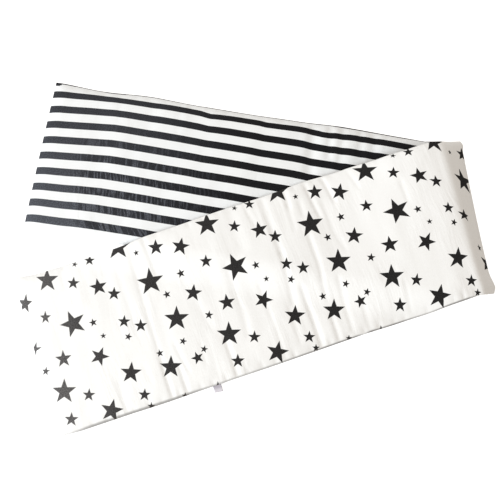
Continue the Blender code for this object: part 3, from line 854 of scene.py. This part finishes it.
def printed_cotton(tree, shader, cloth_white, crumple, print_mask, ink):
    """White cotton with a print: where its ink lies and the ink's colour."""
    weave = node(tree, "ShaderNodeGroup")
    weave.node_tree = cotton
    tree.links.new(split(tree, "cloth")[0], weave.inputs["Cloth"])
    weave.inputs["Crumple"].default_value = crumple
    ground = mixed(tree, 1.0, (*cloth_white, 1.0), weave.outputs["Tone"], "MULTIPLY")
    specked = mixed(tree, 1.0, ink, weave.outputs["Speck"], "MULTIPLY")
    colour = mixed(tree, print_mask, ground, specked)
    # Painted shade along the near seam, as strong as the seam map says
    colour = mixed(tree, split(tree, "seam")[1], colour, SEAM_SHADE_COLOUR)
    tree.links.new(colour, shader.inputs["Base Color"])
    bumped(tree, shader, weave.outputs["Height"])
    shader.inputs["Roughness"].default_value = 0.85
    shader.inputs["Specular IOR Level"].default_value = 0.10
    shader.inputs["Sheen Weight"].default_value = 0.06
    shader.inputs["Sheen Roughness"].default_value = 0.5


INK_BLEED = 2200.0                # the weave makes the print's edge ragged: noise to the metre


def bled(tree, on_cloth, distance, size):
    """A distance from the print's edge, made ragged by this much."""
    ragged = math_node(tree, "SUBTRACT", noise(tree, on_cloth, INK_BLEED).outputs["Fac"], 0.5)
    return math_node(tree, "MULTIPLY_ADD", ragged, size, distance)


# Star print: a regular five-point star whose edge is a straight line between tip and notch. Its
# ink greys lighter towards the free end: painted glare, where the light washes the print out.
STAR_WHITE = (0.882, 0.900, 0.896)
STAR_CRUMPLE = 1.35
NOTCH = 0.405                     # radius at the notches, where the tips' is 1
STAR_BLEED = 0.05                 # in the star's radii, as is its soft edge
STAR_EDGE = 0.015
STAR_INK_TINT = (1.0, 0.985, 0.99)
STAR_INK_AND_GLARE = (
    # along in metres, and its grey
    (0.0, 0.095), (0.03, 0.105), (0.06, 0.084), (0.095, 0.057), (0.13, 0.040), (0.19, 0.034),
    (0.32, 0.027), (0.45, 0.020), (0.85, 0.013),
)
star_cotton, tree, shader = new_material("star cotton")
on_cloth, along, _ = split(tree, "cloth")
from_star, towards_tip, aside = split(tree, "star")
away = node(tree, "ShaderNodeVectorMath", operation="LENGTH")
tree.links.new(from_star, away.inputs[0])
half_fifth = math.pi / 5.0
around = math_node(tree, "ARCTAN2", aside, towards_tip)
around = math_node(tree, "ABSOLUTE", math_node(tree, "WRAP", around, half_fifth, -half_fifth))
ahead = math_node(tree, "MULTIPLY", away.outputs["Value"], math_node(tree, "COSINE", around))
aside = math_node(tree, "MULTIPLY", away.outputs["Value"], math_node(tree, "SINE", around))
edge = (NOTCH * math.cos(half_fifth) - 1.0, NOTCH * math.sin(half_fifth))
edge_run, edge_rise = edge[0] / math.hypot(*edge), edge[1] / math.hypot(*edge)
beyond = math_node(tree, "MULTIPLY_ADD", ahead, edge_rise, -edge_rise)
beyond = math_node(tree, "MULTIPLY_ADD", aside, -edge_run, beyond)
on_star = eased(tree, bled(tree, on_cloth, beyond, STAR_BLEED), STAR_EDGE, -STAR_EDGE)
# The ink's grey along the cloth, lighter at the free end with painted glare
star_ink_and_glare = node(tree, "ShaderNodeValToRGB")
stops = star_ink_and_glare.color_ramp.elements
for stop_along, grey in STAR_INK_AND_GLARE:
    if stop_along == STAR_INK_AND_GLARE[0][0]:
        stop = stops[0]
    elif stop_along == STAR_INK_AND_GLARE[-1][0]:
        stop = stops[-1]
    else:
        stop = stops.new(stop_along)
    stop.position = stop_along
    stop.color = (*(grey * tint for tint in STAR_INK_TINT), 1.0)
tree.links.new(along, star_ink_and_glare.inputs["Fac"])
printed_cotton(tree, shader, STAR_WHITE, STAR_CRUMPLE, on_star, star_ink_and_glare.outputs["Color"])

# Stripes: black, not quite half of the pitch wide. Painted glare turns their ink blue grey towards
# the free end, in fine streaks of painted sheen across the stripes, most of all in the middle
# rows.
STRIPE_WHITE = (0.850, 0.884, 0.900)
STRIPE_CRUMPLE = 0.80
STRIPE_HALF = 0.0073
STRIPE_BLEED = 0.0006
STRIPE_EDGE = 0.0002
STRIPE_INK = (0.0080, 0.0082, 0.0098, 1.0)
GLARE_GREY = (0.074, 0.081, 0.096, 1.0)
GLARE_FROM = (1.27, 1.60)          # along in metres: where it starts and where it is full
GLARE_ACROSS = (2.6, 0.36)         # more for each metre across, from this at the far seam
STREAKS = (240.0, 26.0, 1.0)
STREAK_EDGE = (0.47, 0.64)
STREAK_CONTRAST = (1.45, -0.62)
STREAK_ROWS = (0.02, 0.17)        # across in metres: where they start and where they are full
STREAKS_BEFORE = (1.585, 1.635)   # along in metres: they fade between these
STREAK_MEAN = 0.95
striped_cotton, tree, shader = new_material("striped cotton")
on_cloth, along, across = split(tree, "cloth")
half_pitch = STRIPE_PITCH / 2000.0
off_stripe = math_node(tree, "ABSOLUTE", math_node(tree, "WRAP", across, half_pitch, -half_pitch))
off_stripe = bled(tree, on_cloth, off_stripe, STRIPE_BLEED)
on_stripe = eased(tree, off_stripe, STRIPE_HALF + STRIPE_EDGE, STRIPE_HALF - STRIPE_EDGE)
# Fine streaks of painted sheen across the stripes
sheen_streak = eased(tree, noise(tree, on_cloth, STREAKS).outputs["Fac"], *STREAK_EDGE)
sheen_streak = math_node(tree, "MULTIPLY_ADD", sheen_streak, *STREAK_CONTRAST)
sheen_streak = math_node(tree, "MULTIPLY", sheen_streak, eased(tree, across, *STREAK_ROWS))
sheen_streak = math_node(tree, "MULTIPLY", sheen_streak, eased(tree, along, *STREAKS_BEFORE[::-1]))
sheen_streak = math_node(tree, "ADD", sheen_streak, STREAK_MEAN)
# Painted glare: the ink greys towards the free end, and more towards the near seam
ink_glare = math_node(tree, "MULTIPLY_ADD", across, *GLARE_ACROSS)
ink_glare = math_node(tree, "MULTIPLY", ink_glare, eased(tree, along, *GLARE_FROM))
ink_glare = math_node(tree, "MULTIPLY", ink_glare, sheen_streak)
stripe_ink_and_glare = mixed(tree, ink_glare, STRIPE_INK, GLARE_GREY)
printed_cotton(tree, shader, STRIPE_WHITE, STRIPE_CRUMPLE, on_stripe, stripe_ink_and_glare)

strip_mesh.materials.append(star_cotton)
strip_mesh.materials.append(striped_cotton)
strip_mesh.polygons.foreach_set("material_index", np.arange(len(faces)) // len(star_corners))
strip = bpy.data.objects.new("padded_strip", strip_mesh)
scene.collection.objects.link(strip)
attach(strip, "root")
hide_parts("pad")

# ---- Tie ----
# A white woven ribbon caught in the near seam of the star leg. Its short end comes out from under
# the edge and lies on the table, cut a little askew.
TIE_WIDTH = 0.015
TIE_THICKNESS = 0.0008
TIE_ALONG = 0.2890                # its middle, from the leg's free end
TIE_TUCK = 0.006                  # how much of it lies under the edge
TIE_LENGTH = 0.0122               # and how much shows
TIE_SLANT = 0.002                 # one corner of the cut stands out this much more
TIE_POINTS = (30, 13)             # of the mesh, along and across
TIE_RISE = np.array((
    # past the seam, and how high its underside lies
    (-TIE_TUCK, 0.0010), (-0.0025, 0.0028), (0.0, 0.0042), (0.0025, 0.0040), (0.0050, 0.0024),
    (0.0080, 0.0008), (0.0110, 0.0003), (TIE_LENGTH, 0.0003),
))
RIB_PITCH = 0.0009
RIB_HEIGHT = 0.00003
RIBBON_WARP = 0.35                # how much the ribs are broken by the threads along the ribbon
# The white ribbon is painted in greys as painted shade: darker in the hollows between its ribs,
# lighter on them; RIBBON_SHADED adds painted shade under the seam's edge.
RIBBON_IN_SHADE = ((0.60, 0.585, 0.65, 1.0), (0.73, 0.72, 0.77, 1.0))
RIBBON_SHADED = (0.72, 0.71, 0.74, 1.0)
SHADED_BEFORE = (0.0030, 0.0085)  # past the seam: where its shade begins to end and is gone
past = np.linspace(-TIE_TUCK, TIE_LENGTH, TIE_POINTS[0])
sides = np.linspace(-0.5, 0.5, TIE_POINTS[1])
rings, wide = len(past), len(sides)
layer = rings * wide
seam_here = pinned(UPPER_SIDES, np.array([TIE_ALONG]), np.array([STRIP_WIDTH]))[0]
past_here, side_here = np.meshgrid(past, sides, indexing="ij")
askew = TIE_SLANT * side_here * np.maximum(past_here, 0.0) / TIE_LENGTH
lying = upper_plan(TIE_ALONG + side_here * TIE_WIDTH, seam_here + past_here + askew)
lift = np.interp(past_here, TIE_RISE[:, 0], TIE_RISE[:, 1])
ribbon_points = np.concatenate([
    np.dstack([lying, lift + thickness]).reshape(-1, 3) for thickness in (0.0, TIE_THICKNESS)
])
below = quads(np.arange(layer).reshape(rings, wide))
rim = list(range(wide)) + [i * wide + wide - 1 for i in range(1, rings)]
rim += [(rings - 1) * wide + j for j in range(wide - 2, -1, -1)]
rim += [i * wide for i in range(rings - 2, 0, -1)]
ribbon_faces = [*below[:, ::-1].tolist(), *(below + layer).tolist()]
ribbon_faces += [(a, b, b + layer, a + layer) for a, b in zip(rim, rim[1:] + rim[:1])]
ribbon_mesh = bpy.data.meshes.new("ribbon end")
ribbon_mesh.from_pydata(ribbon_points.tolist(), [], ribbon_faces)
ribbon_mesh.update()
ribbon_mesh.shade_smooth()
ribbon_map = ribbon_mesh.uv_layers.new(name="cloth")
for loop in ribbon_mesh.loops:
    ring, step = divmod(loop.vertex_index % layer, wide)
    ribbon_map.uv[loop.index].vector = (float(sides[step]) * TIE_WIDTH, float(past[ring]))
ribbon_white, tree, shader = new_material("ribbon")
_, across, along = split(tree, "cloth")
rib_turn = 2.0 * math.pi / RIB_PITCH
rib = math_node(tree, "SINE", math_node(tree, "MULTIPLY", along, rib_turn))
warp = math_node(tree, "SINE", math_node(tree, "MULTIPLY", across, 2.0 * rib_turn))
woven = math_node(tree, "MULTIPLY_ADD", warp, RIBBON_WARP, rib)
raised = node(tree, "ShaderNodeMapRange")
raised.inputs["From Min"].default_value = -1.0 - RIBBON_WARP
raised.inputs["From Max"].default_value = 1.0 + RIBBON_WARP
tree.links.new(woven, raised.inputs["Value"])
# Painted shade: darker between the ribs, lighter on them
tint = mixed(tree, raised.outputs["Result"], *RIBBON_IN_SHADE)
tint = mixed(tree, eased(tree, along, *SHADED_BEFORE[::-1]), tint, RIBBON_SHADED, "MULTIPLY")
tree.links.new(tint, shader.inputs["Base Color"])
bumped(tree, shader, math_node(tree, "MULTIPLY", woven, RIB_HEIGHT))
shader.inputs["Roughness"].default_value = 0.55
shader.inputs["Sheen Weight"].default_value = 0.1
ribbon_mesh.materials.append(ribbon_white)
ribbon = bpy.data.objects.new("tie_end", ribbon_mesh)
scene.collection.objects.link(ribbon)
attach(ribbon, "root")
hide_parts("tie")
